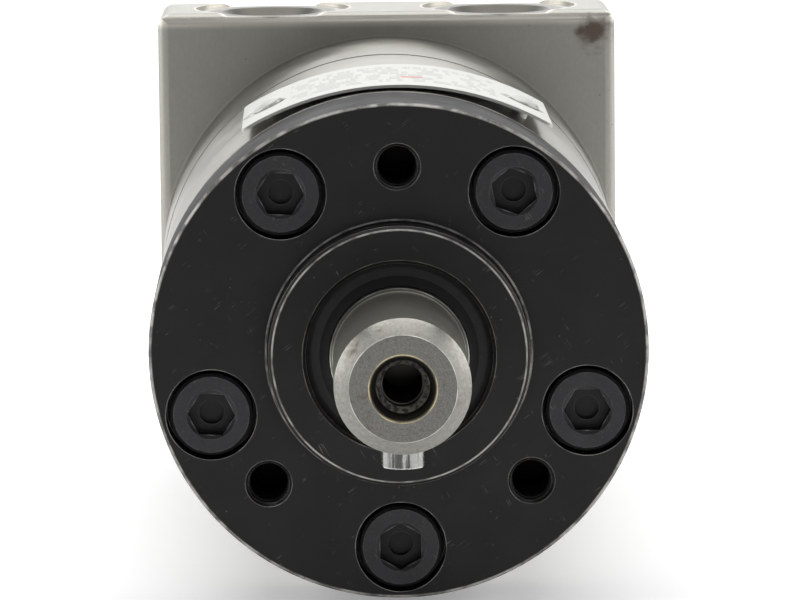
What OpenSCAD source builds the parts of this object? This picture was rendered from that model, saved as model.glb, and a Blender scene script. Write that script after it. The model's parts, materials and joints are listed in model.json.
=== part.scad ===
// Orbital hydraulic motor with a spool valve on its output shaft.
// The origin is the centre of the mounting face. The shaft points to -Y, the ports to +Z.
// Most pieces are turned about the motor axis, so profiles are lists of [radius, y] points.

/* [Front cover] */
// Diameter of the cover, the housing and the gear set
body_d = 60.4; // [60:0.1:60.8]
// Thickness of the cover flange
cover_h = 14; // [13.6:0.1:14.4]
// Diameter of the pilot
pilot_d = 31.5; // [31:0.1:32]
// Height of the pilot above the mounting face
pilot_h = 3.6; // [3.2:0.1:4]
// Diameter of the recess around the shaft
recess_d = 22.5; // [22:0.1:23]
// Bolt circle of the cover screws
screw_pcd = 47.8; // [47:0.1:47.9]
// Bolt circle of the threaded mounting holes
mount_pcd = 45; // [44.8:0.1:45.2]

/* [Shaft] */
// Diameter of the shaft end
shaft_d = 16; // [15.5:0.1:16.2]
// Length of shaft in front of the mounting face
shaft_out = 28.5; // [28:0.5:30]
// Width and height of the key
key_size = 5; // [4.8:0.1:5.2]
// Length of the key, over its round ends
key_length = 16; // [14:0.5:17]
// Diameter of the spool
spool_d = 27; // [26.9:0.1:27.1]

/* [Housing] */
// Station of the fine groove where the housing starts to widen towards the block
step_y = 62.5; // [60:0.5:66]
// Front face of the port block
block_y = 82; // [82:0.1:83]
// Width of the port block
block_w = 62; // [61.5:0.1:62.5]
// Height of the block's top above the motor axis
block_top = 34.2; // [33.8:0.1:34.6]
// Distance between the two ports
port_spacing = 31; // [30.5:0.1:31.5]
// Diameter of the port bore under its thread
port_core_d = 11.8; // [11.4:0.1:12]

/* [Gear set] */
// Width of the gear ring
gear_w = 8.5; // [8:0.1:9]
// Radius of the circle through the centres of the ring's round teeth
teeth_circle_r = 24; // [23.9:0.05:24.1]
// Radius of each round tooth
tooth_r = 7; // [6.9:0.05:7.1]
// Offset of the rotor from the motor axis
eccentricity = 2.9; // [2.8:0.05:2.95]

/* [Hidden] */
$fn = 96;

eps = 0.01;             // how far a cut runs past a face
body_r = body_d / 2;
shaft_r = shaft_d / 2;
spool_r = spool_d / 2;

// Angles are seen from the front, from +X towards +Z
screw_angles = [54, 126, 198, 270, 342];
screw_turns = [40, -3, -3, 30, 0];       // how far each cover screw's hex is turned
mount_angles = [90, 225, 315];
tooth_angles = [18, 90, 162, 234, 306];  // gear ring teeth and end screws
chamber_angles = [54, 126, 198, 270, 342];

m6_core_r = 2.5;
m6_r = 3;
thread_fit = 0.05;
head_r = 5;
hex_r = 5 / sqrt(3);    // corner radius of a 5 mm hex
countersink_r = 3.05;   // round chamfer at the mouth of the hex
counterbore_r = 5.5;
counterbore_h = 4.2;

// Stations along the axis
recess_y = -0.6;
seal_y = 9.7;
lip_y = seal_y + 4.2;    // seal lip and its spring
hub_y = cover_h + 4.5;
race_y = cover_h + 5.5;
race_t = 1;
needle_t = 2;
shoulder_y = race_y + 2 * race_t + needle_t;
relief_y0 = 30.5;
relief_y1 = 73;
spline_y0 = 55;
spline_y1 = 67;
check_y = 78;
groove_a = [79, 82];
slots_y = 88;
groove_b = [94, 97];
housing_y = 100;
spool_end_y = housing_y - 0.3;
plate_t = 2;
ring_y = housing_y + plate_t;
cover_y = ring_y + gear_w;
end_y = cover_y + 8;
washer_t = 1;

hub_r = 19.45;
bore_fit = 0.04;
seal_bore_r = 14;
race_r = 15.3;
journal_r = 8.38;
journal_y = -4.2;        // front end of the journal under the seals
cavity_r = 9;
groove_r = 15.2;
chamber_r = 18.5;
end_screw_r = 24.2;
screw_clear_r = 3.1;
face_groove = [27.6, 29.2, 1.1];  // inner radius, outer radius and depth
rear_r = 30.7;
port_y = (block_y + housing_y) / 2;
port_floor = block_top - 13.5;
check_at = [7.8, -16.2];
check_r = 2;
gallery_r = 1.1;
ball_r = 1.75;
ball_y = check_y + sqrt(ball_r * ball_r - gallery_r * gallery_r) + 0.02;
drain_y = 46;
plate_y = [15, 42];
plate_arc = [37.05, 0.35, 0.4, -6.5];  // inner radius, thickness and centre x, z
rivet_y = 26;
rivet_angle = 25.3;      // about the centre of the plate's arc
rivet_r = 1;

teeth = 5;
mesh_gap = 0.04;
head_half = 3.2;
head_front_y = (spline_y0 + spline_y1) / 2;
head_rear_y = ring_y + 3.6;
cardan_tilt = atan(eccentricity / (head_rear_y - head_front_y));
spline_male = [5.6, 6.7, 1.6];    // root radius, tip radius and tooth width
spline_female = [5.9, 7, 2.1];

// ---- shared shapes ----

// Solid of revolution about the motor axis
module turned(profile) {
    rotate([-90, 0, 0]) rotate_extrude() polygon(profile);
}

// Cylinder along the motor axis between two stations
module bar(y0, y1, r) {
    translate([0, y0, 0]) rotate([-90, 0, 0]) cylinder(h = y1 - y0, r = r);
}

// Cone along the motor axis between two stations
module taper(y0, y1, r0, r1) {
    translate([0, y0, 0]) rotate([-90, 0, 0]) cylinder(h = y1 - y0, r1 = r0, r2 = r1);
}

module tube(y0, y1, r_out, r_in) {
    difference() {
        bar(y0, y1, r_out);
        bar(y0 - 1, y1 + 1, r_in);
    }
}

// An X-Z outline made into a solid between two stations
module slab(y0, y1) {
    translate([0, y1, 0]) rotate([90, 0, 0]) linear_extrude(y1 - y0) children();
}

// Copies of a piece at the given angles on a circle
module around(angles, r) {
    for (a = angles) translate([r * cos(a), 0, r * sin(a)]) children();
}

// Cylinder between two points
module drilling(from, to, r) {
    d = to - from;
    turn = atan2(d[1], d[0]);
    tilt = atan2(norm([d[0], d[1]]), d[2]);
    translate(from) rotate([0, tilt, turn]) cylinder(h = norm(d), r = r);
}

// Rounded rectangle from one corner to the other
module rounded_rect(low, high, r) {
    translate([low[0] + r, low[1]]) square([high[0] - low[0] - 2 * r, high[1] - low[1]]);
    translate([low[0], low[1] + r]) square([high[0] - low[0], high[1] - low[1] - 2 * r]);
    for (x = [low[0] + r, high[0] - r]) {
        for (z = [low[1] + r, high[1] - r]) translate([x, z]) circle(r);
    }
}

// Round wire bent to a ring about the motor axis
module wire_ring(y, r, wire) {
    translate([0, y, 0]) rotate([-90, 0, 0]) rotate_extrude() translate([r, 0]) circle(wire);
}

// O-ring pressed flat in a face groove that opens to the rear or the front
module face_o_ring(y0) {
    turned([
        [face_groove[0] + 0.3, y0], [face_groove[1] - 0.3, y0],
        [face_groove[1] - 0.05, y0 + 0.3], [face_groove[1] - 0.05, y0 + 0.8],
        [face_groove[1] - 0.3, y0 + face_groove[2]], [face_groove[0] + 0.3, y0 + face_groove[2]],
        [face_groove[0] + 0.05, y0 + 0.8], [face_groove[0] + 0.05, y0 + 0.3]
    ]);
}

module face_o_groove(y0) {
    tube(y0, y0 + face_groove[2] + eps, face_groove[1], face_groove[0]);
}

// Outline of a splined shaft, or of the splined hole that takes it
module spline(size) {
    circle(size[0]);
    intersection() {
        circle(size[1]);
        for (i = [0 : 9]) rotate(i * 36) translate([-size[2] / 2, 0]) square([size[2], size[1] + 1]);
    }
}

// ---- front cover and its seals ----

module front_cover() color("#262523") difference() {
    turned([
        [cavity_r, recess_y], [recess_d / 2, recess_y], [recess_d / 2, -pilot_h + 0.4],
        [recess_d / 2 + 0.4, -pilot_h], [pilot_d / 2 - 0.4, -pilot_h], [pilot_d / 2, -pilot_h + 0.4],
        [pilot_d / 2, -0.3], [pilot_d / 2 - 0.2, -0.1], [pilot_d / 2 - 0.2, 0.15],
        [pilot_d / 2 + 0.4, 0.15], [pilot_d / 2 + 0.4, 0],
        [body_r - 0.25, 0], [body_r, 0.25], [body_r, cover_h - 0.4], [body_r - 0.4, cover_h],
        [hub_r, cover_h], [hub_r, hub_y], [race_r, hub_y], [race_r, race_y],
        [seal_bore_r, race_y], [seal_bore_r, seal_y], [cavity_r, seal_y]
    ]);
    tube(cover_h + 1, cover_h + 3.2, hub_r + 1, 17.7);
    around(screw_angles, screw_pcd / 2) {
        bar(-eps, counterbore_h, counterbore_r);
        bar(0, cover_h + eps, 3.3);
    }
    around(mount_angles, mount_pcd / 2) {
        bar(-1, cover_h + 1, m6_core_r);
        taper(-eps, 0.35, 2.85, m6_core_r);
    }
}

module hex_socket(y0, depth, turn) {
    translate([0, y0 + depth, 0]) rotate([90, turn, 0]) cylinder(h = depth + 1, r = hex_r, $fn = 6);
}

module cover_screw(turn) difference() {
    turned([
        [0, 0.1], [head_r - 0.4, 0.1], [head_r, 0.5], [head_r, counterbore_h], [m6_r, counterbore_h],
        [m6_r, cover_h - 0.5], [m6_core_r - thread_fit, cover_h],
        [m6_core_r - thread_fit, cover_h + 12], [0, cover_h + 12]
    ]);
    hex_socket(0.1, 2.3, -turn);
    taper(0.1 - eps, 0.4, countersink_r, 2.6);
    bar(2, 3.6, 1.5);
}

module cover_screws() color("#33363a") {
    for (i = [0 : 4]) around([screw_angles[i]], screw_pcd / 2) cover_screw(screw_turns[i]);
}

module dust_seal() color("#1b1b1b") turned([
    [recess_d / 2, recess_y], [recess_d / 2, -1.8], [10.6, -2], [9.6, -2.1], [journal_r + 0.15, -2.9],
    [journal_r + 0.03, -2.8], [journal_r + 0.03, -2.5], [8.8, -1.6], [8.9, recess_y]
]);

module shaft_seal() color("#202020") difference() {
    turned([
        [seal_bore_r, seal_y], [seal_bore_r, seal_y + 7], [12.9, seal_y + 7], [12.9, seal_y + 1.4],
        [11.2, seal_y + 1.4], [10.9, lip_y - 1.2], [10.9, lip_y + 1.2], [9.4, lip_y + 1.2],
        [journal_r + 0.03, lip_y], [9.3, lip_y - 1.4], [9.6, seal_y + 1.4], [9.3, seal_y]
    ]);
    wire_ring(lip_y, 10.9, 0.52);
}

module seal_spring() color("silver") wire_ring(lip_y, 10.9, 0.5);

module backup_ring() color("#8a8a86") tube(race_y - 2.5, race_y, seal_bore_r, 8.8);

module cover_o_ring() color("#161616") wire_ring(cover_h + 2.1, 18.6, 0.88);

// ---- thrust bearing ----

module front_race() color("#9a9a98") tube(race_y, race_y + race_t, race_r, 9.75);

module rear_race() color("#9a9a98") tube(shoulder_y - race_t, shoulder_y, race_r - 0.3, 9.55);

module needle_cage() color("#6f6a5c") difference() {
    tube(race_y + race_t + 0.3, race_y + race_t + 1.7, 14.9, 9.8);
    for (i = [0 : 15]) rotate([0, i * 22.5, 0])
        translate([10.4, race_y, -1.03]) cube([4, 4, 2.06]);
}

module needles() color("#c0c0c0") {
    for (i = [0 : 15]) rotate([0, i * 22.5, 0])
        translate([10.45, race_y + race_t + needle_t / 2, 0]) rotate([0, 90, 0]) cylinder(h = 3.9, r = 0.99);
}

// ---- shaft and key ----

// Round-ended slot of the key, seen along Z
module key_outline() {
    near = -shaft_out + 3.5;
    for (y = [near + key_size / 2, near + key_length - key_size / 2]) translate([0, y]) circle(key_size / 2);
    translate([-key_size / 2, near + key_size / 2]) square([key_size, key_length - key_size]);
}

module shaft_key() color("#d8d8d4") difference() {
    translate([0, 0, -shaft_r - 2]) linear_extrude(key_size) key_outline();
    for (s = [-1, 1]) translate([s * key_size / 2, -shaft_out, -shaft_r - 2])
        rotate([0, 45, 0]) cube([0.4, 40, 0.4], center = true);
}

module valve_slots(y0, y1, first_angle) {
    for (a = [first_angle : 90 : first_angle + 270]) rotate([0, -a, 0])
        translate([12, y0, -3.2]) cube([3, y1 - y0, 6.4]);
}

module output_shaft() color("#a9aaa4") difference() {
    turned([
        [0, -shaft_out], [shaft_r - 1.74, -shaft_out], [shaft_r, -shaft_out + 2], [shaft_r, journal_y - 0.2],
        [journal_r, journal_y], [journal_r, race_y], [9.5, race_y], [9.5, shoulder_y],
        [spool_r - 0.4, shoulder_y], [spool_r, shoulder_y + 0.4], [spool_r, relief_y0],
        [spool_r - 0.6, relief_y0 + 0.6],
        [spool_r - 0.6, relief_y1 - 0.6], [spool_r, relief_y1], [spool_r, spool_end_y - 0.4],
        [spool_r - 0.4, spool_end_y], [0, spool_end_y]
    ]);
    // centre hole with its thread core
    taper(-shaft_out - eps, -shaft_out + 1.6, 3.95, 3.15);
    bar(-shaft_out, -shaft_out + 2.2, 3.15);
    taper(-shaft_out + 2.2 - eps, -shaft_out + 2.85, 3.15, m6_core_r);
    bar(-shaft_out, -shaft_out + 18, m6_core_r);
    // keyway
    translate([0, 0, -shaft_r - 2]) linear_extrude(key_size) key_outline();
    // cavity for the cardan shaft, ending in the splined hole
    bar(spline_y1, housing_y + 1, cavity_r);
    slab(spline_y0, spline_y1 + 1) spline(spline_female);
    for (a = [0, 180]) rotate([0, a, 0])
        drilling([0, spline_y1 + 3, 0], [spool_r + 1, spline_y1 + 3, 0], 1.5);
    valve_slots(groove_a[0], slots_y + 2, 67.5);
    valve_slots(slots_y - 2, groove_b[1], 22.5);
}

// ---- housing ----

// Square above the axis and round below it, with rounded edges
module block() intersection() {
    slab(block_y, housing_y) union() {
        intersection() {
            rounded_rect([-block_w / 2, -block_top], [block_w / 2, block_top], 2);
            translate([-block_w, 0]) square([2 * block_w, block_top]);
        }
        circle(block_w / 2);
    }
    translate([0, 0, -block_w]) linear_extrude(block_w + block_top)
        rounded_rect([-block_w / 2, block_y], [block_w / 2, housing_y], 1.4);
    translate([-block_w / 2, 0, 0]) rotate([90, 0, 90]) linear_extrude(block_w)
        rounded_rect([block_y, -block_w], [housing_y, block_top], 1.4);
}

module port(side) {
    x = side * port_spacing / 2;
    translate([x, port_y, block_top - 0.5]) cylinder(h = 2, r = 10.5);
    translate([x, port_y, port_floor]) cylinder(h = 14, r = port_core_d / 2);
    translate([x, port_y, block_top - 1.6]) cylinder(h = 1.11, r1 = port_core_d / 2, r2 = 7);
}

module check_bore(side, groove_y) {
    translate([side * check_at[0], 0, check_at[1]]) {
        bar(check_y, housing_y + 1, check_r);
        bar(hub_y, check_y + 1, gallery_r);
    }
    out = [side * check_at[0], groove_y, check_at[1]];
    drilling(out, [out[0] * 0.76, groove_y, out[2] * 0.76], 0.8);
}

module rivet_place(side, r) {
    translate([plate_arc[2], rivet_y, plate_arc[3]])
        rotate([0, side * rivet_angle, 0]) translate([0, 0, r]) children();
}

module housing() color("#b9b9b4") difference() {
    union() {
        turned([
            [0, cover_h], [body_r - 0.3, cover_h], [body_r, cover_h + 0.3], [body_r, step_y],
            [body_r - 0.12, step_y + 0.05], [body_r - 0.12, step_y + 0.25],
            [body_r + 0.08, step_y + 0.27], [rear_r, block_y], [rear_r, block_y + 2.5],
            [0, block_y + 2.5]
        ]);
        block();
    }
    // bores for the cover hub, the thrust bearing and the spool
    bar(cover_h - 1, race_y, hub_r + 0.05);
    bar(race_y - 1, shoulder_y + 0.3, 15.5);
    bar(race_y, housing_y + 1, spool_r + bore_fit);
    for (g = [groove_a, groove_b]) bar(g[0], g[1], groove_r);
    // tapped holes at both ends
    around(screw_angles, screw_pcd / 2) bar(cover_h - 1, cover_h + 13.5, m6_core_r);
    around(tooth_angles, end_screw_r) bar(housing_y - 12, housing_y + 1, m6_core_r);
    // valve passages to the gear set chambers
    around(chamber_angles, chamber_r) bar(slots_y - 2.3, housing_y + 1, 2);
    for (a = chamber_angles) drilling([12 * cos(a), slots_y, 12 * sin(a)],
        [chamber_r * cos(a), slots_y, chamber_r * sin(a)], 1.8);
    // ports, with the drillings that join them to the valve grooves
    for (side = [-1, 1]) port(side);
    drilling([17, slots_y, port_floor + 0.7], [13.9, groove_a[0] + 1.5, 8.2], 1.9);
    drilling([-17, groove_b[0] - 1, port_floor + 0.7], [-13.9, groove_b[0] + 1.5, 8.2], 1.9);
    // check valves and the case drain
    check_bore(1, groove_a[0] + 1.5);
    check_bore(-1, groove_b[0] + 1.5);
    translate([0, drain_y, -body_r - 1]) {
        cylinder(h = 4, r = 6.2);
        cylinder(h = 11, r = 4.4);
        cylinder(h = 20, r = 1.5);
    }
    translate([0, housing_y - face_groove[2], 0]) face_o_groove(0);
    for (side = [-1, 1]) rivet_place(side, plate_arc[0] - 4.4) cylinder(h = 5, r = rivet_r);
}

module nameplate() color("#e4e4dc") difference() {
    intersection() {
        translate([plate_arc[2], 0, plate_arc[3]])
            tube(plate_y[0], plate_y[1], plate_arc[0] + plate_arc[1], plate_arc[0]);
        translate([0, 0, 10]) linear_extrude(30) rounded_rect([-18.8, plate_y[0]], [19.4, plate_y[1]], 0.8);
    }
    for (side = [-1, 1]) rivet_place(side, plate_arc[0] - 1) cylinder(h = 3, r = rivet_r);
}

// Drive rivet with a domed head, standing on the plate
module rivet() {
    head = 2.1;
    dome = 0.9;
    ball = (head * head + dome * dome) / (2 * dome);
    seat = plate_arc[0] + plate_arc[1] + 0.03;
    translate([0, 0, seat - 4.4]) cylinder(h = 4.6, r = rivet_r);
    intersection() {
        translate([0, 0, seat + dome - ball]) sphere(ball);
        translate([0, 0, seat]) cylinder(h = 2, r = head);
    }
}

module nameplate_rivets() color("#c8c8c4") for (side = [-1, 1]) rivet_place(side, 0) rivet();

// ---- check valves and drain plug ----

module check_place(side) {
    translate([side * check_at[0], 0, check_at[1]]) children();
}

module check_ball_a() color("silver") check_place(1) translate([0, ball_y, 0]) sphere(ball_r);

module check_ball_b() color("silver") check_place(-1) translate([0, ball_y, 0]) sphere(ball_r);

// Compression spring between the ball and the distributor plate
coil_r = 1.3;
wire_r = 0.28;
coil_turns = 9;
coil_steps = 12;
coil_y0 = ball_y + sqrt(pow(ball_r + wire_r, 2) - coil_r * coil_r) + 0.05;
coil_y1 = housing_y - wire_r - 0.03;

module check_spring() {
    steps = coil_turns * coil_steps;
    sides = 6;
    points = [for (i = [0 : steps]) for (j = [0 : sides - 1])
        let (a = i * 360 / coil_steps, b = j * 360 / sides, r = coil_r + wire_r * cos(b))
        [r * cos(a), coil_y0 + (coil_y1 - coil_y0) * i / steps + wire_r * sin(b), r * sin(a)]];
    walls = [for (i = [0 : steps - 1]) for (j = [0 : sides - 1])
        let (a = i * sides + j, b = i * sides + (j + 1) % sides)
        for (face = [[a, b, b + sides], [a, b + sides, a + sides]]) face];
    start_cap = [for (j = [1 : sides - 2]) [0, j + 1, j]];
    last = steps * sides;
    end_cap = [for (j = [1 : sides - 2]) [last, last + j, last + j + 1]];
    polyhedron(points, concat(walls, start_cap, end_cap));
}

module check_spring_a() color("silver") check_place(1) check_spring();

module check_spring_b() color("silver") check_place(-1) check_spring();

// Screwed up into the underside, with its head inside the spot face
module drain_plug() color("#8f9296") translate([0, drain_y, -body_r]) difference() {
    union() {
        translate([0, 0, 0.3]) cylinder(h = 1.7, r = 5.8);
        translate([0, 0, 1]) cylinder(h = 7.5, r = 4.35);
    }
    translate([0, 0, -1]) cylinder(h = 5, r = hex_r, $fn = 6);
}

module drain_washer() color("#b87a4a") translate([0, drain_y, -body_r + 2]) difference() {
    cylinder(h = 1, r = 5.9);
    translate([0, 0, -1]) cylinder(h = 3, r = 4.5);
}

// ---- gear set ----

module housing_o_ring() color("#161616") face_o_ring(housing_y - face_groove[2]);

module distributor_plate() color("#a3a5a2") difference() {
    tube(housing_y, ring_y, body_r, cavity_r + 0.2);
    around(chamber_angles, chamber_r) bar(housing_y - 1, ring_y + 1, 2);
    around(tooth_angles, end_screw_r) bar(housing_y - 1, ring_y + 1, screw_clear_r);
}

module ring_o_ring() color("#161616") face_o_ring(ring_y);

module gear_ring() color("#8d8f8c") difference() {
    turned([
        [0, ring_y], [body_r - 0.3, ring_y], [body_r, ring_y + 0.3], [body_r, cover_y - 0.3],
        [body_r - 0.3, cover_y], [0, cover_y]
    ]);
    difference() {
        bar(ring_y - 1, cover_y + 1, teeth_circle_r - 1);
        around(tooth_angles, teeth_circle_r) bar(ring_y - 2, cover_y + 2, tooth_r);
    }
    around(tooth_angles, end_screw_r) bar(ring_y - 1, cover_y + 1, screw_clear_r);
    translate([0, -eps, 0]) face_o_groove(ring_y);
}

// Lobed rotor outline: the curve that stays one tooth radius inside the path
// of the ring's tooth centres, seen from the orbiting rotor
function rotor_point(b) =
    let (
        path = [
            teeth_circle_r * cos(b) - eccentricity * cos(teeth * b),
            teeth_circle_r * sin(b) - eccentricity * sin(teeth * b)
        ],
        normal = [
            teeth_circle_r * cos(b) - teeth * eccentricity * cos(teeth * b),
            teeth_circle_r * sin(b) - teeth * eccentricity * sin(teeth * b)
        ]
    )
    path - normal / norm(normal) * (tooth_r + mesh_gap);

module rotor() color("#9c9e9a") translate([0, 0, eccentricity]) difference() {
    slab(ring_y + 0.02, cover_y - 0.02) polygon([for (i = [0 : 199]) rotor_point(i * 1.8)]);
    slab(ring_y - 1, cover_y + 1) spline(spline_female);
}

// Splined head of the cardan shaft, with crowned teeth
module cardan_head(y) intersection() {
    slab(y - head_half, y + head_half) spline(spline_male);
    turned([
        [0, y - head_half], [4.8, y - head_half], [6.4, y - head_half + 0.9], [6.7, y],
        [6.4, y + head_half - 0.9], [4.8, y + head_half], [0, y + head_half]
    ]);
}

module cardan_shaft() color("#85878a") translate([0, head_front_y, 0]) rotate([cardan_tilt, 0, 0]) {
    span = (head_rear_y - head_front_y) / cos(cardan_tilt);
    cardan_head(0);
    cardan_head(span);
    turned([
        [0, 2], [5.4, 2], [5.4, head_half], [4.2, head_half + 3], [4.2, span - head_half - 3],
        [5.4, span - head_half], [5.4, span - 2], [0, span - 2]
    ]);
}

// Loose spacer behind the cardan shaft, carried round by the rotor
module cardan_button() color("#9a9a98") translate([0, 0, eccentricity])
    bar(cover_y - 1.2, cover_y - 0.1, 5.4);

module end_o_ring() color("#161616") face_o_ring(cover_y);

module end_cover() color("#34332f") difference() {
    turned([
        [0, cover_y], [body_r - 0.3, cover_y], [body_r, cover_y + 0.3], [body_r, end_y - 1],
        [body_r - 1, end_y], [15, end_y], [14, end_y - 1], [0, end_y - 1]
    ]);
    around(tooth_angles, end_screw_r) bar(cover_y - 1, end_y + 1, screw_clear_r);
    translate([0, -eps, 0]) face_o_groove(cover_y);
}

module end_washers() color("#b87a4a") around(tooth_angles, end_screw_r)
    tube(end_y, end_y + washer_t, 5.4, 3.1);

module end_screw() difference() {
    seat = end_y + washer_t;
    turned([
        [0, housing_y - 11], [m6_core_r - thread_fit, housing_y - 11], [m6_core_r - thread_fit, housing_y],
        [m6_r, housing_y + 0.5], [m6_r, seat], [head_r, seat], [head_r, seat + 5.6],
        [head_r - 0.4, seat + 6], [0, seat + 6]
    ]);
    translate([0, seat + 3, 0]) rotate([-90, 0, 0]) cylinder(h = 4, r = hex_r, $fn = 6);
    taper(seat + 5.7, seat + 6 + eps, 2.6, countersink_r);
}

module end_screws() color("#33363a") around(tooth_angles, end_screw_r) end_screw();

front_cover();
cover_screws();
dust_seal();
shaft_seal();
seal_spring();
backup_ring();
cover_o_ring();
front_race();
needle_cage();
needles();
rear_race();
output_shaft();
shaft_key();
housing();
check_ball_a();
check_ball_b();
check_spring_a();
check_spring_b();
drain_plug();
drain_washer();
housing_o_ring();
distributor_plate();
ring_o_ring();
gear_ring();
rotor();
cardan_shaft();
cardan_button();
end_o_ring();
end_cover();
end_washers();
end_screws();
nameplate();
nameplate_rivets();
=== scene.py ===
"""Looks of a small orbital hydraulic motor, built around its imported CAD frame."""
import json
import math

import bmesh
import bpy
from mathutils import Matrix, Vector


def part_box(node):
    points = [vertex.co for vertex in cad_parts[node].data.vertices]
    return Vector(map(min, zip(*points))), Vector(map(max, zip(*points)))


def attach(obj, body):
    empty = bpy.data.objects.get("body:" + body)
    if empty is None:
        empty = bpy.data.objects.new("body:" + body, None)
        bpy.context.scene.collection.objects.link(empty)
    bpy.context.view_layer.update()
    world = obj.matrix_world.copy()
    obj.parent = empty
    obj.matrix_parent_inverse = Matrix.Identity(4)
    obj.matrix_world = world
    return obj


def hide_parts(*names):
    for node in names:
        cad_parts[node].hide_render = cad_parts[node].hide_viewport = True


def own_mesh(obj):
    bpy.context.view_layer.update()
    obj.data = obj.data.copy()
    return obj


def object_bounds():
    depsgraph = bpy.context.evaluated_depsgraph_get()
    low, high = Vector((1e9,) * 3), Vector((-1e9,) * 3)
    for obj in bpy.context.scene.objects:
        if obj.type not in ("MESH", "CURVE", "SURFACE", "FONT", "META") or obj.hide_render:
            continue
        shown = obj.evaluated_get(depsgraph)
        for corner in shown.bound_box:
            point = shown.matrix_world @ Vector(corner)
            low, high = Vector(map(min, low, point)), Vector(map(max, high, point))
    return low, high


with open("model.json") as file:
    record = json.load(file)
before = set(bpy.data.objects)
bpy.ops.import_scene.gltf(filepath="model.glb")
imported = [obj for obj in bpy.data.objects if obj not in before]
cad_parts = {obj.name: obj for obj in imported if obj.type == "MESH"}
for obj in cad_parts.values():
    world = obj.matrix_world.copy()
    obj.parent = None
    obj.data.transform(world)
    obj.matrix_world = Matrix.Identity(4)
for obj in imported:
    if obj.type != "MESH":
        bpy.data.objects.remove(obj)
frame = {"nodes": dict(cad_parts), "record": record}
cad_low, cad_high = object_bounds()

MM = 0.001
NODES = frame["nodes"]
MOUNTS = {mount["name"]: mount for mount in frame["record"]["mounts"]}


def in_mm(corners):
    """Corners measured in metres, in millimetres."""
    return [corner / MM for corner in corners]


# ---- node helpers ----

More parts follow.
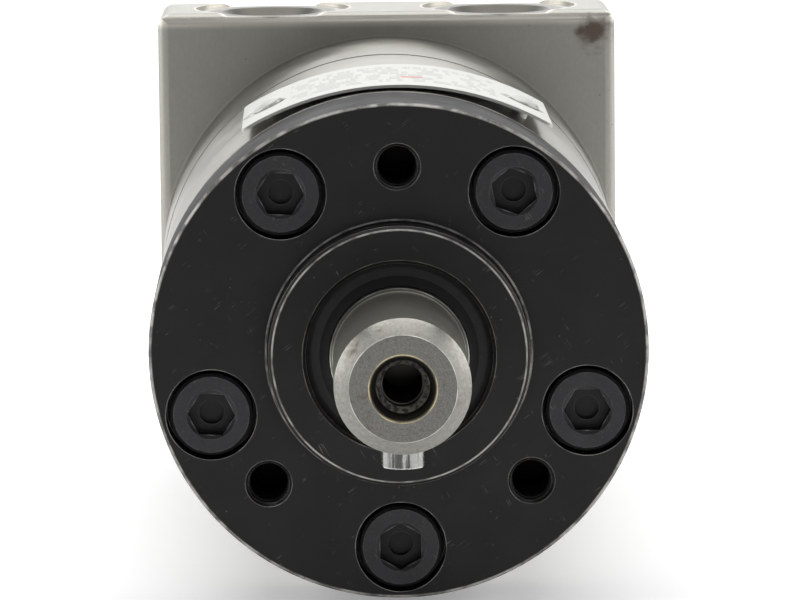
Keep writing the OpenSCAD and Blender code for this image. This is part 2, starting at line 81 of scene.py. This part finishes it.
class Shader:
    """The node tree of one material. Lengths given to its calls are in millimetres."""

    def __init__(self, name, metallic, roughness, specular=0.5):
        self.material = bpy.data.materials.new(name)
        self.material.use_nodes = True
        self.tree = self.material.node_tree
        self.tree.nodes.clear()
        self.bsdf = self.add("ShaderNodeBsdfPrincipled")
        output = self.add("ShaderNodeOutputMaterial")
        self.tree.links.new(self.bsdf.outputs[0], output.inputs[0])
        self.bsdf.inputs["Metallic"].default_value = metallic
        self.bsdf.inputs["Roughness"].default_value = roughness
        self.bsdf.inputs["Specular IOR Level"].default_value = specular
        place = self.add("ShaderNodeTexCoord").outputs["Object"]
        self.place = self.scaled(place, (1 / MM, 1 / MM, 1 / MM))
        axes = self.add("ShaderNodeSeparateXYZ")
        self.tree.links.new(self.place, axes.inputs[0])
        self.x, self.y, self.z = axes.outputs

    def add(self, kind):
        return self.tree.nodes.new(kind)

    def feed(self, socket, value):
        """Links a socket to value, or sets it when value is a number or a colour."""
        if isinstance(value, bpy.types.NodeSocket):
            self.tree.links.new(value, socket)
        elif isinstance(value, (int, float)):
            socket.default_value = value
        else:
            size = len(socket.default_value)
            socket.default_value = (tuple(value) + (1.0,))[:size]

    def set(self, name, value):
        self.feed(self.bsdf.inputs[name], value)

    def scaled(self, vector, scale):
        node = self.add("ShaderNodeVectorMath")
        node.operation = "MULTIPLY"
        self.feed(node.inputs[0], vector)
        self.feed(node.inputs[1], scale)
        return node.outputs[0]

    def math(self, operation, a, b=0.0, c=0.0):
        node = self.add("ShaderNodeMath")
        node.operation = operation
        for socket, value in zip(node.inputs, (a, b, c)):
            self.feed(socket, value)
        return node.outputs[0]

    def distance(self, a, b):
        """Distance across two directions, each a pair: the coordinate and where it is measured from."""
        da = self.math("SUBTRACT", *a)
        db = self.math("SUBTRACT", *b)
        return self.math("SQRT", self.math("MULTIPLY_ADD", da, da, self.math("MULTIPLY", db, db)))

    def radius(self):
        """Distance from the motor axis, which runs along Y."""
        return self.distance((self.x, 0.0), (self.z, 0.0))

    def point(self, x, y, z):
        node = self.add("ShaderNodeCombineXYZ")
        for socket, value in zip(node.inputs, (x, y, z)):
            self.feed(socket, value)
        return node.outputs[0]

    def noise(self, size, vector=None, detail=3.0, rough=0.55, stretch=None):
        """Noise from 0 to 1 whose features are about size mm wide."""
        vector = vector or self.place
        if stretch:
            vector = self.scaled(vector, stretch)
        node = self.add("ShaderNodeTexNoise")
        self.feed(node.inputs["Vector"], vector)
        node.inputs["Scale"].default_value = 1.0 / size
        node.inputs["Detail"].default_value = detail
        node.inputs["Roughness"].default_value = rough
        return node.outputs["Fac"]

    def cells(self, size):
        """Distance to the nearest of points scattered about size mm apart."""
        node = self.add("ShaderNodeTexVoronoi")
        self.feed(node.inputs["Vector"], self.place)
        node.inputs["Scale"].default_value = 1.0 / size
        return node.outputs["Distance"]

    def ramp(self, value, low, high, to_low=0.0, to_high=1.0):
        """Smooth step from to_low, where value is low, to to_high, where it is high."""
        node = self.add("ShaderNodeMapRange")
        node.interpolation_type = "SMOOTHSTEP"
        limits = {"From Min": low, "From Max": high, "To Min": to_low, "To Max": to_high}
        for name, number in limits.items():
            self.feed(node.inputs[name], number)
        self.feed(node.inputs["Value"], value)
        return node.outputs[0]

    def fade(self, value, low, high):
        """1 up to low, falling smoothly to 0 at high."""
        return self.ramp(value, low, high, 1.0, 0.0)

    def band(self, value, centre, half, soft):
        """1 within half of centre, falling to 0 over soft."""
        distance = self.math("ABSOLUTE", self.math("SUBTRACT", value, centre))
        return self.fade(distance, half, half + soft)

    def ring(self, radius, width, y, depth):
        """Thin ring on the motor axis, broken up in places, for painted highlight lines on rims; it
        reaches depth either side of y.
        """
        across = self.band(self.radius(), radius, width, width)
        along = self.band(self.y, y, depth, 0.05)
        wear_and_glint = self.ramp(self.noise(2.4, detail=4.0), 0.36, 0.60, 0.25, 1.0)
        return self.all_of(across, along, wear_and_glint)

    def mix(self, amount, a, b):
        node = self.add("ShaderNodeMix")
        node.data_type = "RGBA"
        self.feed(node.inputs["Factor"], amount)
        self.feed(node.inputs["A"], a)
        self.feed(node.inputs["B"], b)
        return node.outputs["Result"]

    def tint(self, base, colour, mask, share):
        """base, turned towards colour by up to share where mask is 1."""
        return self.mix(self.math("MULTIPLY", mask, share), base, colour)

    def all_of(self, *masks):
        result = masks[0]
        for mask in masks[1:]:
            result = self.math("MULTIPLY", result, mask)
        return result

    def any_of(self, *masks):
        result = masks[0]
        for mask in masks[1:]:
            result = self.math("MAXIMUM", result, mask)
        return result

    def edges(self, radius, low=0.02, high=0.25):
        """Mask of the sharp edges, from the bevelled normal's turn away from the true one."""
        bevel = self.add("ShaderNodeBevel")
        bevel.samples = 6
        bevel.inputs["Radius"].default_value = radius * MM
        true = self.add("ShaderNodeNewGeometry").outputs["Normal"]
        dot = self.add("ShaderNodeVectorMath")
        dot.operation = "DOT_PRODUCT"
        self.feed(dot.inputs[0], bevel.outputs[0])
        self.feed(dot.inputs[1], true)
        return self.ramp(self.math("SUBTRACT", 1.0, dot.outputs["Value"]), low, high)

    def scratches(self, length, width, turn, amount):
        """Thin broken lines, about length by width mm, lying across the motor axis at turn about it.

        A higher amount leaves more of the surface scratched.
        """
        node = self.add("ShaderNodeVectorRotate")
        node.rotation_type = "EULER_XYZ"
        self.feed(node.inputs["Vector"], self.place)
        node.inputs["Rotation"].default_value = (math.pi / 2, 0.0, turn)
        lines = self.noise(width, node.outputs[0], 1.0, 0.4, (1.0, width / length, 1.0))
        fine = self.ramp(lines, 0.62, 0.70)
        patches = self.ramp(self.noise(length * 0.8, detail=1.0), 0.62 - amount, 0.72 - amount)
        return self.math("MULTIPLY", fine, patches)

    def bump(self, height, depth):
        """Raises the surface by height times depth mm."""
        node = self.add("ShaderNodeBump")
        node.inputs["Strength"].default_value = 1.0
        node.inputs["Distance"].default_value = depth * MM
        self.feed(node.inputs["Height"], height)
        self.tree.links.new(node.outputs[0], self.bsdf.inputs["Normal"])


# ---- materials ----

def black_steel():
    """Black oxide over machined steel, lightly scratched, and worn bright along its edges, with painted
    highlight lines along the cover's and pilot's rims.
    """
    s = Shader("black_steel", 0.5, 0.42, 0.44)
    cover_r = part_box("front_cover")[1].x / MM
    cover_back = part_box("housing")[0].y / MM
    pilot_r = MOUNTS["pilot"]["dims"]["r_mm"]
    pilot_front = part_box("front_cover")[0].y / MM
    grain = s.noise(0.35, detail=4.0, rough=0.7)
    turned = s.noise(0.22, s.point(s.radius(), s.math("MULTIPLY", s.y, 0.3), 0.0), 2.0)
    base = s.mix(s.noise(14.0), (0.0085, 0.0082, 0.0076), (0.0130, 0.0126, 0.0116))
    base = s.mix(s.ramp(grain, 0.55, 0.8, 0.0, 0.25), base, (0.030, 0.029, 0.027))
    lines = s.any_of(
        s.scratches(3.0, 0.13, 0.5, -0.02),
        s.scratches(2.2, 0.12, -0.9, -0.01),
        s.scratches(4.0, 0.11, 2.2, -0.03),
    )
    base = s.tint(base, (0.17, 0.165, 0.155), lines, 0.5)
    dusty = s.ramp(s.noise(11.0, detail=1.0), 0.40, 0.62)
    specks = s.all_of(s.fade(s.cells(1.9), 0.03, 0.06), dusty)
    base = s.tint(base, (0.20, 0.195, 0.18), specks, 0.5)
    broken = s.ramp(s.noise(3.0, detail=4.0), 0.36, 0.62, 0.30, 1.0)
    # Bevel-found edges are worn bright; the rings along the cover's front and rear rims and the pilot's
    # edges are painted highlight lines.
    wear_and_glint = s.any_of(
        s.all_of(s.edges(0.16, 0.012, 0.07), broken),
        s.ring(cover_r - 0.2, 0.12, 0.25, 0.30),
        s.ring(cover_r, 0.5, cover_back - 0.55, 0.35),
        s.ring(pilot_r - 0.45, 0.07, pilot_front, 0.20),
        s.ring(pilot_r + 0.3, 0.07, 0.0, 0.20),
    )
    base = s.tint(base, (0.42, 0.41, 0.385), wear_and_glint, 0.9)
    s.set("Base Color", base)
    rough = s.ramp(s.noise(6.0, detail=4.0), 0.3, 0.7, 0.36, 0.46)
    dull_side = s.ramp(s.radius(), cover_r - 0.15, cover_r - 0.05, 0.0, 0.22)
    rubbed = s.math("MULTIPLY", wear_and_glint, 0.10)
    s.set("Roughness", s.math("ADD", s.math("SUBTRACT", rough, rubbed), dull_side))
    height = s.math("MULTIPLY_ADD", turned, 0.5, s.math("MULTIPLY", grain, 0.8))
    s.bump(s.math("SUBTRACT", height, s.math("MULTIPLY", lines, 0.6)), 0.007)
    return s.material


def black_screw():
    """Black oxide on screws, a little bluer and speckled, with rubbed edges and painted shade darkening
    the sockets.
    """
    s = Shader("black_screw", 0.7, 0.38)
    socket_y = 2.6
    socket_half = 1.8
    grain = s.noise(0.22, detail=4.0, rough=0.75)
    base = s.mix(s.noise(2.5, detail=4.0), (0.024, 0.0245, 0.0255), (0.042, 0.0425, 0.044))
    base = s.mix(s.ramp(grain, 0.52, 0.72, 0.0, 0.5), base, (0.085, 0.086, 0.088))
    base = s.tint(base, (0.25, 0.25, 0.25), s.scratches(1.5, 0.1, 0.7, 0.03), 0.4)
    broken = s.ramp(s.noise(0.9, detail=3.0), 0.38, 0.62, 0.15, 1.0)
    wear_and_glint = s.all_of(s.edges(0.14, 0.012, 0.08), broken)
    base = s.tint(base, (0.25, 0.252, 0.255), wear_and_glint, 0.75)
    # Painted shade: colour darkened near black from just behind the head's face down into the socket and
    # round the head's sides.
    socket_shade = s.band(s.y, socket_y, socket_half, 0.5)
    base = s.tint(base, (0.008, 0.008, 0.008), socket_shade, 0.7)
    s.set("Base Color", base)
    s.set("Roughness", s.ramp(grain, 0.3, 0.7, 0.32, 0.48))
    s.bump(grain, 0.012)
    return s.material


def ground_steel():
    """The shaft: fine turned marks round it and on its end, darker along its sides, lightly stained, with
    painted highlight rings on its rims and painted shade inside its centre hole.
    """
    s = Shader("ground_steel", 1.0, 0.32)
    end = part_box("output_shaft")[0].y / MM
    face_r = 6.28
    mouth_r = 3.93
    journal_r = 8.36
    journal_y = -4.2
    along = s.noise(0.10, s.point(0.0, s.y, 0.0), 3.0, 0.7)
    across = s.noise(0.16, s.point(s.radius(), 0.0, 0.0), 3.0, 0.7)
    on_end = s.fade(s.y, end + 0.2, end + 2.1)
    marks = s.mix(on_end, along, across)
    cloud = s.noise(4.0, detail=5.0)
    side = s.mix(cloud, (0.40, 0.395, 0.34), (0.55, 0.54, 0.48))
    fine = s.noise(0.5, detail=6.0, rough=0.85)
    tip = s.mix(s.ramp(fine, 0.3, 0.7), (0.105, 0.103, 0.095), (0.205, 0.202, 0.186))
    chamfer = s.mix(s.ramp(fine, 0.3, 0.7), (0.190, 0.186, 0.166), (0.330, 0.324, 0.292))
    base = s.mix(s.ramp(s.y, end + 0.02, end + 0.12), tip, chamfer)
    base = s.mix(s.ramp(s.y, end + 1.9, end + 2.2), base, side)
    base = s.mix(s.ramp(marks, 0.35, 0.7, 0.0, 0.25), base, (0.42, 0.41, 0.385))
    stain = s.ramp(s.noise(3.2, detail=6.0, rough=0.65), 0.56, 0.74)
    stain = s.all_of(stain, s.ramp(s.noise(0.7), 0.35, 0.6))
    base = s.tint(base, (0.17, 0.105, 0.060), stain, 0.5)
    specks = s.ramp(s.cells(0.9), 0.06, 0.12, 0.5, 0.0)
    base = s.mix(s.all_of(specks, s.ramp(s.noise(2.4), 0.5, 0.6)), base, (0.06, 0.05, 0.045))
    grit = s.ramp(s.noise(0.16, detail=4.0, rough=0.8), 0.42, 0.62, 0.0, 0.30)
    base = s.mix(s.all_of(grit, on_end), base, (0.44, 0.43, 0.395))
    # Painted shade inside the centre hole, behind its mouth.
    hole_shade = s.fade(s.radius(), mouth_r - 0.18, mouth_r - 0.03)
    hole_shade = s.all_of(hole_shade, s.ramp(s.y, end + 0.1, end + 0.5))
    base = s.tint(base, (0.030, 0.026, 0.020), hole_shade, 0.86)
    step = s.ramp(s.radius(), journal_r - 0.34, journal_r - 0.28)
    step = s.all_of(step, s.fade(s.y, journal_y + 0.05, journal_y + 0.15))
    base = s.tint(base, (0.070, 0.068, 0.055), step, 0.8)
    # Painted highlights: thin bright rings on the end face's rim and the journal step's edge, and a warm
    # one at the centre hole's mouth.
    rim_highlights = s.any_of(s.ring(face_r, 0.03, end, 0.2), s.ring(journal_r, 0.05, journal_y, 0.1))
    base = s.mix(rim_highlights, base, (0.62, 0.61, 0.57))
    base = s.mix(s.ring(mouth_r, 0.07, end, 0.2), base, (0.80, 0.68, 0.42))
    first_turn = s.all_of(s.fade(s.radius(), 3.1, 3.2), s.band(s.y, end + 2.5, 0.4, 0.1))
    speckled = s.ramp(s.noise(0.5, detail=4.0), 0.40, 0.60, 0.2, 1.0)
    base = s.mix(s.all_of(first_turn, speckled), base, (0.55, 0.53, 0.50))
    s.set("Base Color", base)
    dull = s.math("MULTIPLY_ADD", stain, 0.2, s.math("MULTIPLY", on_end, 0.22))
    s.set("Roughness", s.math("ADD", s.ramp(marks, 0.3, 0.7, 0.26, 0.38), dull))
    s.bump(s.math("ADD", marks, s.math("MULTIPLY", s.noise(0.3), 0.3)), 0.006)
    return s.material


def key_steel():
    """Drawn key steel, bright, with dark streaks down its front end."""
    s = Shader("bright_key", 1.0, 0.24)
    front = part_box("shaft_key")[0].y / MM
    streaks = s.noise(0.5, stretch=(1.0, 0.25, 0.08), detail=3.0)
    near_front = s.ramp(s.y, front + 0.2, front + 1.2, 1.0, 0.12)
    dark = s.all_of(s.ramp(streaks, 0.42, 0.56, 0.0, 0.9), near_front)
    base = s.mix(s.noise(1.8, detail=4.0), (0.30, 0.30, 0.29), (0.48, 0.48, 0.46))
    base = s.mix(dark, base, (0.060, 0.060, 0.056))
    base = s.tint(base, (0.85, 0.85, 0.83), s.edges(0.25, 0.012, 0.08), 0.8)
    s.set("Base Color", base)
    s.set("Roughness", s.ramp(s.noise(0.3), 0.3, 0.7, 0.20, 0.32))
    s.bump(s.noise(0.2, stretch=(1.0, 0.1, 1.0)), 0.004)
    return s.material


def machined_steel():
    """The housing: turned body, milled block, faint stains, and a brown stain at one top corner, with
    painted highlights on the block's outer edges and top lip, and painted shade in the ports and under
    the cover.
    """
    s = Shader("machined_steel", 1.0, 0.36)
    low, high = in_mm(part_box("housing"))
    port = Vector(MOUNTS["port_a"]["pos_m"]) / MM
    block_front = 2 * port.y - high.y
    mouth_r = 8.6
    lathe = s.noise(0.12, s.point(0.0, s.y, 0.0), 3.0, 0.7)
    milled = s.noise(0.35, stretch=(1.0, 1.0, 0.35), detail=4.0, rough=0.7)
    in_block = s.ramp(s.y, block_front - 0.4, block_front)
    marks = s.mix(in_block, lathe, milled)
    cloud = s.noise(11.0, detail=6.0, rough=0.6)
    base = s.mix(cloud, (0.295, 0.288, 0.258), (0.395, 0.386, 0.346))
    grain = s.ramp(s.noise(0.5, detail=5.0, rough=0.75), 0.5, 0.75, 0.0, 0.3)
    base = s.mix(grain, base, (0.25, 0.245, 0.225))
    base = s.tint(base, (0.50, 0.495, 0.47), s.ramp(marks, 0.4, 0.7), 0.12)
    specks = s.all_of(s.fade(s.cells(2.3), 0.04, 0.08), s.ramp(s.noise(6.0), 0.5, 0.62))
    base = s.tint(base, (0.06, 0.055, 0.05), specks, 0.6)
    from_port = s.distance((s.math("ABSOLUTE", s.x), abs(port.x)), (s.y, port.y))
    # Painted highlight: cream-bright outer edges of the block and a band along its top lip, outside the
    # port mouths.
    outer = s.ramp(s.radius(), high.x - 0.15, high.x)
    top_lip_highlight = s.all_of(
        s.ramp(s.z, high.z - 2.3, high.z - 0.8, 0.0, 0.9),
        s.fade(s.z, high.z - 0.8, high.z - 0.5),
        s.ramp(from_port, mouth_r, mouth_r + 0.3),
    )
    edge_highlight = s.all_of(in_block, outer, s.any_of(s.edges(0.8, 0.012, 0.16), top_lip_highlight))
    base = s.tint(base, (0.88, 0.84, 0.75), edge_highlight, 0.85)
    from_corner = s.distance((s.x, high.x - 2.8), (s.z, high.z - 3.0))
    ragged = s.math("MULTIPLY_ADD", s.noise(1.6, detail=4.0), 5.0, from_corner)
    stain = s.all_of(s.fade(ragged, 3.2, 5.4), s.band(s.y, block_front, 0.8, 1.0))
    base = s.tint(base, (0.10, 0.058, 0.042), stain, 0.75)
    # Painted shade down inside the two ports.
    down_port = s.band(s.z, high.z - 8.4, 7.8, 0.5)
    port_shade = s.all_of(s.fade(from_port, mouth_r, mouth_r + 0.3), down_port)
    base = s.tint(base, (0.060, 0.056, 0.048), port_shade, 0.8)
    # Painted shade on the housing's front face where it sits under the cover.
    shade_under_cover = s.fade(s.y, low.y + 0.15, low.y + 0.4)
    base = s.tint(base, (0.030, 0.024, 0.019), shade_under_cover, 0.95)
    s.set("Base Color", base)
    rough = s.ramp(cloud, 0.3, 0.7, 0.30, 0.42)
    s.set("Roughness", s.math("ADD", rough, s.math("MULTIPLY", s.any_of(stain, shade_under_cover), 0.25)))
    s.bump(s.math("ADD", marks, stain), 0.006)
    return s.material


def plate_aluminium():
    """Thin bright plate with faint ruled lines, as if printed and faded, and painted shade rings round
    its rivet heads.
    """
    s = Shader("plate_aluminium", 0.35, 0.42)
    low, high = in_mm(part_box("nameplate"))
    row_gap = 1.6
    printed_half_x = 12.5
    printed_half_y = 9.5
    rivet_head_r = 2.2
    fleck = s.noise(0.4, detail=4.0, rough=0.7)
    base = s.mix(fleck, (0.50, 0.50, 0.47), (0.58, 0.58, 0.545))
    by_row = s.point(s.x, s.math("SNAP", s.y, 2 * row_gap), 0.0)
    dashes = s.ramp(s.noise(1.3, by_row, 2.0), 0.45, 0.52)
    rows = s.band(s.math("PINGPONG", s.y, row_gap), row_gap / 2, 0.22, 0.2)
    printed_x = s.band(s.x, 0.0, printed_half_x, 0.4)
    printed_y = s.band(s.y, (low.y + high.y) / 2, printed_half_y, 0.4)
    lines = s.all_of(rows, dashes, printed_x, printed_y)
    base = s.tint(base, (0.17, 0.17, 0.16), lines, 0.65)
    red = s.all_of(s.band(s.x, 2.3, 1.2, 0.3), s.band(s.y, low.y + 10.0, 0.7, 0.2))
    base = s.tint(base, (0.50, 0.06, 0.04), red, 0.8)
    rivet_low, rivet_high = in_mm(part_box("nameplate_rivets"))
    rivet_x = rivet_high.x - rivet_head_r
    rivet_y = (rivet_low.y + rivet_high.y) / 2
    from_rivet = s.distance((s.math("ABSOLUTE", s.x), rivet_x), (s.y, rivet_y))
    # Painted shade: a dark broken ring on the plate round each rivet head.
    rivet_shadow = s.all_of(s.band(from_rivet, 2.3, 0.25, 0.3), s.ramp(s.noise(1.0), 0.3, 0.6, 0.3, 1.0))
    base = s.tint(base, (0.09, 0.085, 0.08), rivet_shadow, 0.7)
    grime = s.all_of(s.ramp(s.noise(3.0, detail=5.0), 0.55, 0.75), s.ramp(s.noise(0.6), 0.4, 0.7))
    base = s.tint(base, (0.35, 0.33, 0.28), grime, 0.35)
    s.set("Base Color", base)
    s.set("Roughness", s.ramp(fleck, 0.3, 0.7, 0.36, 0.50))
    s.bump(s.noise(0.9, detail=3.0), 0.02)
    return s.material


def rubber():
    """Matte black nitrile with a moulded grain."""
    s = Shader("seal_rubber", 0.0, 0.6, 0.35)
    grain = s.noise(0.15, detail=4.0, rough=0.7)
    base = s.mix(s.noise(1.5, detail=4.0), (0.008, 0.008, 0.008), (0.020, 0.020, 0.019))
    dust = s.all_of(s.fade(s.cells(0.8), 0.05, 0.10), s.ramp(s.noise(1.8), 0.48, 0.6))
    base = s.tint(base, (0.16, 0.15, 0.14), dust, 0.4)
    s.set("Base Color", base)
    s.set("Roughness", s.ramp(grain, 0.3, 0.7, 0.48, 0.68))
    s.bump(grain, 0.02)
    return s.material


def plain_steel(name, dark, light, rough):
    """Ground or drawn steel parts, with marks round the axis and rubbed edges."""
    s = Shader(name, 1.0, rough)
    marks = s.noise(0.12, s.point(s.radius(), s.y, 0.0), 3.0, 0.7)
    base = s.mix(s.noise(2.5, detail=5.0), dark, light)
    base = s.mix(s.ramp(marks, 0.4, 0.75, 0.0, 0.3), base, tuple(min(1.0, 1.25 * c) for c in light))
    stain = s.ramp(s.noise(1.9, detail=6.0, rough=0.7), 0.6, 0.78, 0.0, 0.4)
    base = s.mix(stain, base, tuple(0.45 * c for c in dark))
    base = s.tint(base, tuple(min(1.0, 1.4 * c) for c in light), s.edges(0.2), 0.5)
    s.set("Base Color", base)
    s.set("Roughness", s.ramp(marks, 0.3, 0.7, rough - 0.05, rough + 0.08))
    s.bump(marks, 0.005)
    return s.material


def make_materials():
    """One material for each slot in the record."""
    return {
        "black_steel": black_steel(),
        "black_screw": black_screw(),
        "ground_steel": ground_steel(),
        "machined_steel": machined_steel(),
        "plate_aluminium": plate_aluminium(),
        "seal_rubber": rubber(),
        "bright_key": key_steel(),
        "dark_steel": plain_steel("dark_steel", (0.20, 0.20, 0.19), (0.33, 0.33, 0.315), 0.36),
        "bearing_steel": plain_steel("bearing_steel", (0.46, 0.46, 0.45), (0.60, 0.60, 0.59), 0.18),
        "cage_steel": plain_steel("cage_steel", (0.16, 0.145, 0.12), (0.26, 0.24, 0.20), 0.42),
        "spring_steel": plain_steel("spring_steel", (0.42, 0.42, 0.41), (0.58, 0.58, 0.57), 0.26),
        "copper_washer": plain_steel("copper_washer", (0.45, 0.20, 0.10), (0.66, 0.33, 0.18), 0.34),
        "zinc_plug": plain_steel("zinc_plug", (0.36, 0.37, 0.40), (0.52, 0.53, 0.55), 0.34),
    }


# ---- extra pieces ----

def smooth_mesh(name, mesh):
    """Mesh data from a bmesh, smooth shaded."""
    data = bpy.data.meshes.new(name)
    mesh.to_mesh(data)
    mesh.free()
    for face in data.polygons:
        face.use_smooth = True
    return data


def new_piece(name, data, material, body):
    piece = bpy.data.objects.new(name, data)
    bpy.context.scene.collection.objects.link(piece)
    data.materials.append(material)
    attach(piece, body)
    return piece


def swept(name, sections, material, body):
    """Closed smooth mesh through sections, each a ring of points in millimetres."""
    mesh = bmesh.new()
    rings = [[mesh.verts.new(point * MM) for point in section] for section in sections]
    sides = len(rings[0])
    for a, b in zip(rings, rings[1:]):
        for j in range(sides):
            k = (j + 1) % sides
            mesh.faces.new((a[j], a[k], b[k], b[j]))
    mesh.faces.new(reversed(rings[0]))
    mesh.faces.new(rings[-1])
    bmesh.ops.recalc_face_normals(mesh, faces=mesh.faces)
    return new_piece(name, smooth_mesh(name, mesh), material, body)


def thread(name, mouth, out, radius, length, pitch, material, body):
    """Helical ridge inside a tapped hole: mouth is the thread's outer end, out points out of it."""
    depth = 0.30 * pitch
    sunk = 0.04
    root_half = 0.42 * pitch
    crest_half = 0.06 * pitch
    steps = 36
    across = out.orthogonal().normalized()
    side = out.cross(across)
    sections = []
    total = int(steps * (length - pitch) / pitch)
    for i in range(total + 1):
        angle = 2 * math.pi * i / steps
        fade = min(1.0, i / steps, (total - i) / steps)
        radial = across * math.cos(angle) + side * math.sin(angle)
        centre = mouth - out * (pitch * (0.5 + i / steps))
        root = radius + sunk
        crest = radius - depth * fade
        corners = ((root, root_half), (crest, crest_half), (crest, -crest_half), (root, -root_half))
        sections.append([centre + radial * r + out * t for r, t in corners])
    return swept(name, sections, material, body)


def add_threads(materials):
    """Visible threads in the mounting holes, the shaft's end and the ports."""
    forward = Vector((0, -1, 0))
    upward = Vector((0, 0, 1))
    fine_pitch = 1.0
    pipe_pitch = 1.337
    hole_mouth_y = 0.4
    shaft_mouth_in = 2.9
    shaft_thread_r = 2.5
    shaft_thread_length = 14.8
    port_mouth_in = 1.7
    port_thread_length = 11.4
    for number in (1, 2, 3):
        mount = MOUNTS[f"mounting_thread_{number}"]
        mouth = Vector(mount["pos_m"]) / MM
        mouth.y = hole_mouth_y
        thread(f"mounting_thread_{number}_ridge", mouth, forward, mount["dims"]["r_mm"],
            mount["dims"]["length_mm"], fine_pitch, materials["black_steel"], "motor_body")
    shaft_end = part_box("output_shaft")[0].y / MM
    thread("shaft_thread_ridge", Vector((0, shaft_end + shaft_mouth_in, 0)), forward, shaft_thread_r,
        shaft_thread_length, fine_pitch, materials["ground_steel"], "shaft")
    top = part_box("housing")[1].z / MM
    for name in ("port_a", "port_b"):
        mount = MOUNTS[name]
        mouth = Vector(mount["pos_m"]) / MM
        mouth.z = top - port_mouth_in
        thread(f"{name}_ridge", mouth, upward, mount["dims"]["r_mm"], port_thread_length, pipe_pitch,
            materials["machined_steel"], "motor_body")


def coil(low, high, wire):
    """Sections of a round wire wound along Y, filling the box from low to high, with closed end coils."""
    turns = 9
    steps = 24
    sides = 10
    centre = (low + high) / 2
    coil_r = (high.x - low.x) / 2 - wire
    closed = 2.1 * wire
    open_turns = turns - 2
    open_pitch = (high.y - low.y - 2 * wire - 2 * closed) / open_turns
    angles = [2 * math.pi * j / sides for j in range(sides)]
    sections = []
    for i in range(turns * steps + 1):
        turn = i / steps
        end_turns = min(turn, 1) + max(turn - 1 - open_turns, 0)
        along = closed * end_turns + open_pitch * min(max(turn - 1, 0), open_turns)
        radial = Vector((math.cos(2 * math.pi * turn), 0, math.sin(2 * math.pi * turn)))
        middle = Vector((centre.x, low.y + wire + along, centre.z)) + coil_r * radial
        spokes = [math.cos(a) * radial + Vector((0, math.sin(a), 0)) for a in angles]
        sections.append([middle + wire * spoke for spoke in spokes])
    return sections


def add_check_springs(materials):
    """Springs behind the two check balls, swept as wire coils in place of the CAD springs."""
    wire = 0.28
    for letter in ("a", "b"):
        node = f"check_spring_{letter}"
        low, high = in_mm(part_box(node))
        spring = swept(f"{node}_coil", coil(low, high, wire), materials["spring_steel"],
            "motor_body")
        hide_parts(node)
        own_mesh(spring)


# ---- stage, lights and camera ----

def make_stage():
    """Pale floor under the motor, curving up far behind it."""
    floor_z = cad_low.z - 0.0002
    reach = 3.0
    bend_y = 1.2
    bend_r = 0.8
    bend_steps = 16
    top = 2.5
    mesh = bmesh.new()
    profile = [(-reach, 0.0), (bend_y, 0.0)]
    for i in range(bend_steps):
        angle = math.pi / 2 * (i + 1) / bend_steps
        profile.append((bend_y + bend_r * math.sin(angle), bend_r - bend_r * math.cos(angle)))
    profile.append((bend_y + bend_r, top))
    rows = [[mesh.verts.new((x, y, floor_z + z)) for x in (-reach, reach)] for y, z in profile]
    for a, b in zip(rows, rows[1:]):
        mesh.faces.new((a[0], a[1], b[1], b[0]))
    data = smooth_mesh("studio_floor", mesh)
    floor = bpy.data.objects.new("studio_floor", data)
    bpy.context.scene.collection.objects.link(floor)
    s = Shader("studio_paper", 0.0, 0.8, 0.2)
    s.set("Base Color", s.mix(s.noise(60.0), (0.86, 0.86, 0.86), (0.90, 0.90, 0.90)))
    s.set("Emission Color", (1.0, 1.0, 1.0))
    s.set("Emission Strength", 0.26)
    data.materials.append(s.material)


def area_light(name, place, target, size, power):
    light = bpy.data.lights.new(name, "AREA")
    light.shape = "RECTANGLE"
    light.size, light.size_y = size
    light.energy = power
    lamp = bpy.data.objects.new(name, light)
    lamp.location = place
    aim = Vector(target) - Vector(place)
    lamp.rotation_euler = aim.to_track_quat("-Z", "Y").to_euler()
    bpy.context.scene.collection.objects.link(lamp)


def make_lights():
    """Large soft boxes above, behind and at both sides; the camera's side stays dimmer."""
    centre = (0.0, 0.04, 0.0)
    area_light("top_box", (0.0, 0.25, 0.95), centre, (1.3, 1.0), 9.0)
    area_light("back_box", (0.0, 1.15, 0.55), (0.0, 0.1, 0.0), (1.8, 0.8), 5.0)
    area_light("left_box", (-0.9, 0.2, 0.35), centre, (0.7, 0.7), 4.0)
    area_light("right_box", (0.9, 0.2, 0.35), centre, (0.7, 0.7), 4.0)
    area_light("front_fill", (0.35, -1.2, 0.7), centre, (0.6, 0.4), 1.2)
    world = bpy.data.worlds.new("studio")
    world.use_nodes = True
    background = world.node_tree.nodes["Background"]
    background.inputs["Color"].default_value = (0.95, 0.97, 1.0, 1.0)
    background.inputs["Strength"].default_value = 0.20
    bpy.context.scene.world = world


def make_camera():
    """Long lens a little above the shaft axis, looking along it at the mounting face."""
    azimuth = math.radians(-0.889)
    elevation = math.radians(8.043)
    roll = math.radians(0.578)
    distance = 0.6201
    aim = Vector((0.00019, 0.0, 0.00635))
    level = math.cos(elevation)
    towards = Vector((-math.sin(azimuth) * level, math.cos(azimuth) * level, -math.sin(elevation)))
    data = bpy.data.cameras.new("camera")
    data.sensor_width = 36.0
    data.lens = 231.7
    camera = bpy.data.objects.new("camera", data)
    look = towards.to_track_quat("-Z", "Y").to_matrix()
    turn = Matrix.Rotation(roll, 3, towards)
    camera.matrix_world = Matrix.Translation(aim - towards * distance) @ (turn @ look).to_4x4()
    bpy.context.scene.collection.objects.link(camera)
    bpy.context.scene.camera = camera


def dress_nodes(materials):
    """Gives each CAD node the material of its slot."""
    for entry in frame["record"]["subparts"]:
        data = NODES[entry["node"]].data
        data.materials.clear()
        data.materials.append(materials[entry["material_slot"]])


make_camera()
make_stage()
make_lights()
materials_by_slot = make_materials()
dress_nodes(materials_by_slot)
add_threads(materials_by_slot)
add_check_springs(materials_by_slot)
bpy.context.scene.view_settings.view_transform = "Standard"
